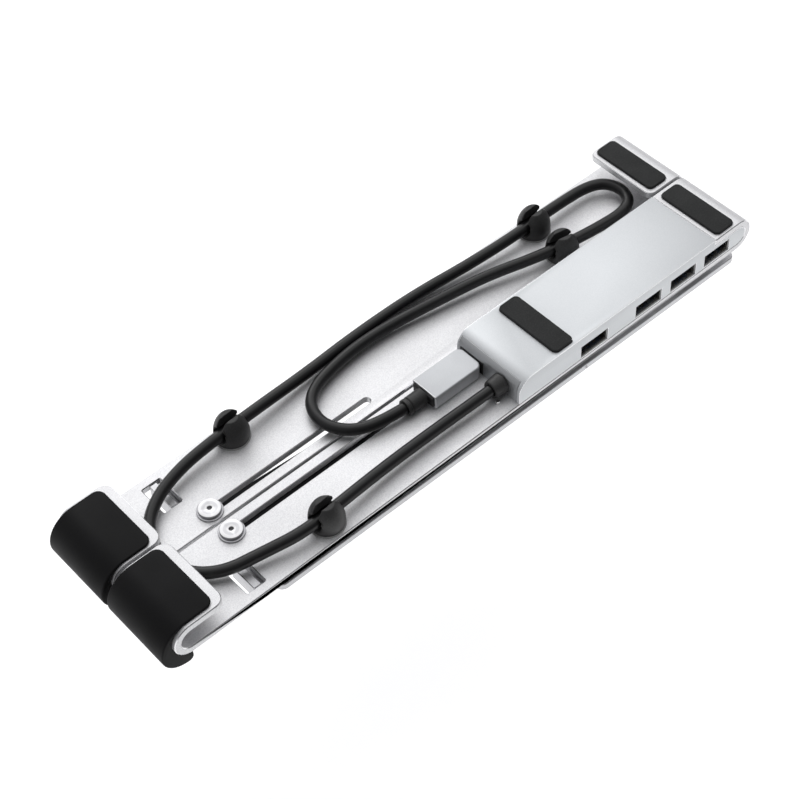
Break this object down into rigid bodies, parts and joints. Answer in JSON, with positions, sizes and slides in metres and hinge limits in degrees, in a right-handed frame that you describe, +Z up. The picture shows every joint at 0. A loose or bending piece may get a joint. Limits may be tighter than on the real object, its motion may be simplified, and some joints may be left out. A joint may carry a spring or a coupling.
{
  "type": "laptop docking station",
  "caption": "Folding aluminium laptop stand with a side-facing data hub, a captive lead held in rubber clips, hooked ends, rubber feet and scissor links.",
  "frame": {"origin": "middle of the folded stand's footprint, on the plane it lies on", "axes": "+X from the two front hooks to the hub end, +Y to the plate without the hub, +Z up from the folded arms to the dock side"},
  "size_m": [0.2736, 0.0648, 0.0209],
  "materials": {
    "anodised_sheet": "fine bead-blasted satin anodising with bright cut edges",
    "arm_sheet": "satin anodised sheet",
    "hub_case": "satin anodised extrusion",
    "hub_cap": "satin, slightly darker than the case",
    "moulded_silicone": "matt with a soft sheen",
    "foot_rubber": "matt, fine grain",
    "gland_rubber": "matt",
    "clip_rubber": "matt moulded",
    "relief_rubber": "matt moulded",
    "lead_jacket": "matt with a faint sheen",
    "adhesive_foam": "closed-cell foam",
    "steel_pin": "ground",
    "steel_rivet": "turned",
    "slide_steel": "turned and blasted",
    "steel_washer": "turned",
    "bright_rivet": "polished",
    "link_steel": "long-grain brushed",
    "port_steel": "nickel plated",
    "port_plastic": "dark blue-black moulding",
    "contact_gold": "gold plated",
    "socket_plastic": "moulded",
    "nickel_nut": "nickel plated",
    "board_laminate": "solder mask",
    "chip_epoxy": "epoxy",
    "screw_steel": "zinc plated",
    "plug_aluminium": "satin anodised",
    "plug_plastic": "moulded",
    "plug_steel": "nickel plated"
  },
  "bodies": {
    "right_base": {"right_base_plate": "anodised_sheet", "right_front_sleeve": "moulded_silicone", "right_rear_pad": "foot_rubber", "hub_mid_pad": "foot_rubber", "plate_rivet": "bright_rivet", "hub_housing": "hub_case", "hub_end_cap": "hub_cap", "parking_socket": "socket_plastic", "cable_gland": "gland_rubber", "gland_nut": "nickel_nut", "circuit_board": "board_laminate", "board_chips": "chip_epoxy", "port_contacts": "contact_gold", "hub_screws": "screw_steel", "cable_clip_2": "clip_rubber", "cable_clip_pad_2": "adhesive_foam", "right_pivot_rivet": "steel_rivet", "right_hinge_pin": "steel_pin", "plug_shell": "plug_aluminium", "plug_core": "plug_plastic", "plug_strain_relief": "relief_rubber", "plug_tip": "plug_steel", "lead": "lead_jacket", "port_shell_1": "port_steel", "port_shell_2": "port_steel", "port_shell_3": "port_steel", "port_shell_4": "port_steel", "port_tongue_1": "port_plastic", "port_tongue_2": "port_plastic", "port_tongue_3": "port_plastic", "port_tongue_4": "port_plastic"},
    "scissor_lower": {"scissor_link_lower": "link_steel", "scissor_centre_rivet": "steel_rivet", "left_slide_pin": "slide_steel", "left_slide_washer": "steel_washer"},
    "scissor_upper": {"scissor_link_upper": "link_steel", "right_slide_pin": "slide_steel", "right_slide_washer": "steel_washer"},
    "left_base": {"left_base_plate": "anodised_sheet", "left_front_sleeve": "moulded_silicone", "left_rear_pad": "foot_rubber", "left_pivot_rivet": "steel_rivet", "left_hinge_pin": "steel_pin", "cable_clip_1": "clip_rubber", "cable_clip_3": "clip_rubber", "cable_clip_4": "clip_rubber", "cable_clip_pad_1": "adhesive_foam", "cable_clip_pad_3": "adhesive_foam", "cable_clip_pad_4": "adhesive_foam"},
    "right_arm": {"right_laptop_arm": "arm_sheet", "right_grip_strip": "foot_rubber", "right_prop_pin": "steel_pin"},
    "left_arm": {"left_laptop_arm": "arm_sheet", "left_grip_strip": "foot_rubber", "left_prop_pin": "steel_pin"},
    "right_prop": {"right_prop_leg": "arm_sheet", "right_prop_foot": "foot_rubber"},
    "left_prop": {"left_prop_leg": "arm_sheet", "left_prop_foot": "foot_rubber"}
  },
  "joints": [
    {"name": "stand_spread", "type": "hinge", "parent": "right_base", "child": "scissor_lower", "pos_m": [0.07885, -0.0059, 0.004], "axis": [0, 0, -1], "range_deg": [0, 49.5], "deforming": ["lead"]},
    {"name": "scissor_cross", "type": "hinge", "parent": "scissor_lower", "child": "scissor_upper", "pos_m": [-0.00515, 0, 0.004], "axis": [0, 0, 1], "range_deg": [0, 99]},
    {"name": "left_plate_pivot", "type": "hinge", "parent": "scissor_upper", "child": "left_base", "pos_m": [0.07885, 0.0059, 0.004], "axis": [0, 0, -1], "range_deg": [0, 49.5]},
    {"name": "right_arm_lift", "type": "hinge", "parent": "right_base", "child": "right_arm", "pos_m": [-0.09635, 0, 0.0073], "axis": [0, 1, 0], "range_deg": [0, 26]},
    {"name": "right_prop_swing", "type": "hinge", "parent": "right_arm", "child": "right_prop", "pos_m": [0.05141, 0, 0.00216], "axis": [0, -1, 0], "range_deg": [0, 80.8]},
    {"name": "left_arm_lift", "type": "hinge", "parent": "left_base", "child": "left_arm", "pos_m": [-0.09635, 0, 0.0073], "axis": [0, 1, 0], "range_deg": [0, 26]},
    {"name": "left_prop_swing", "type": "hinge", "parent": "left_arm", "child": "left_prop", "pos_m": [0.05141, 0, 0.00216], "axis": [0, -1, 0], "range_deg": [0, 80.8]}
  ],
  "couplings": [
    {"joint": "scissor_cross", "follows": "stand_spread", "ratio": 2},
    {"joint": "left_plate_pivot", "follows": "stand_spread", "ratio": 1},
    {"joint": "right_prop_swing", "follows": "right_arm_lift", "ratio": 3.1},
    {"joint": "left_prop_swing", "follows": "left_arm_lift", "ratio": 3.1}
  ]
}
